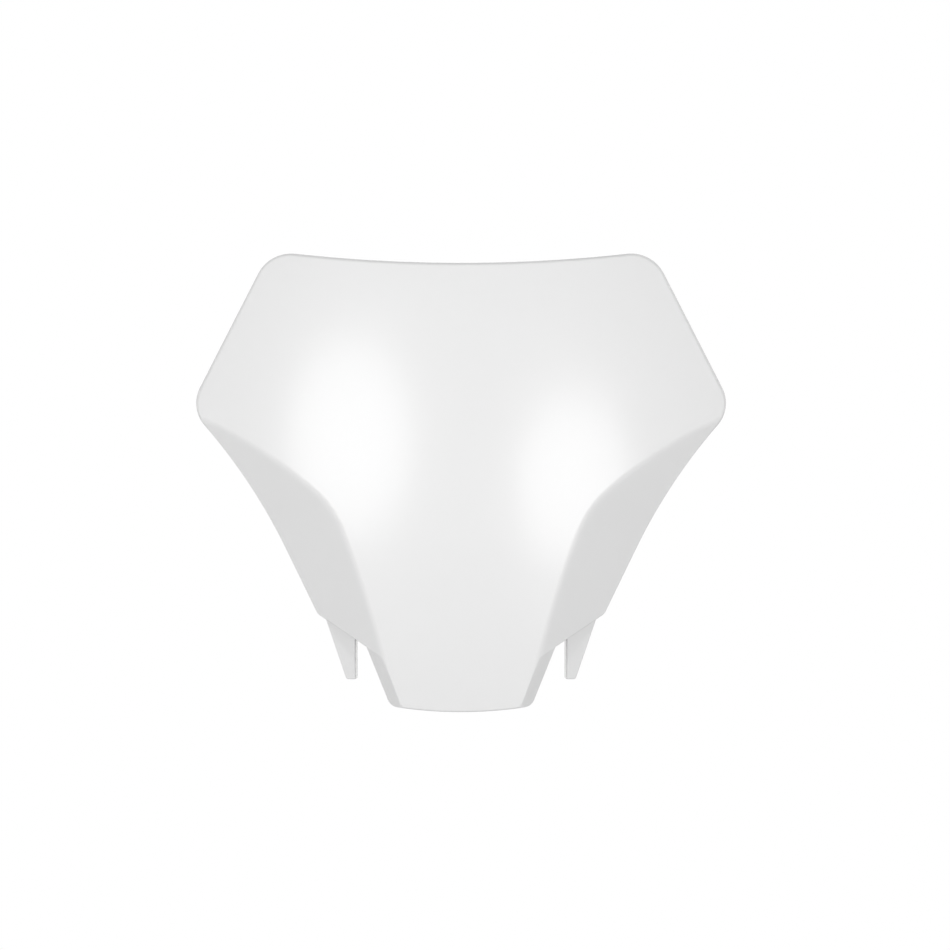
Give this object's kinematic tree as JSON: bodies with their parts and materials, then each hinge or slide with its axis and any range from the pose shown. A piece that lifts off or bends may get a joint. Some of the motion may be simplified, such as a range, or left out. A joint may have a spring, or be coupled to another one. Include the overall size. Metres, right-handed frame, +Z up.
{
  "type": "racing number board",
  "caption": "Bowed front number board for an off-road motorbike, with folded flanks, a tapering tail, two lugs and a screw tab behind.",
  "frame": {"origin": "centre of the screw hole at the top face of the tab", "axes": "+X to the right as the board is looked at from the front, +Y to the rear of the bike, +Z up along the screw hole"},
  "size_m": [0.285, 0.0595, 0.2462],
  "materials": {
    "number_board": "white polypropylene, moulded, semi-gloss"
  },
  "bodies": {
    "root": {"number_board": "number_board"}
  },
  "joints": []
}
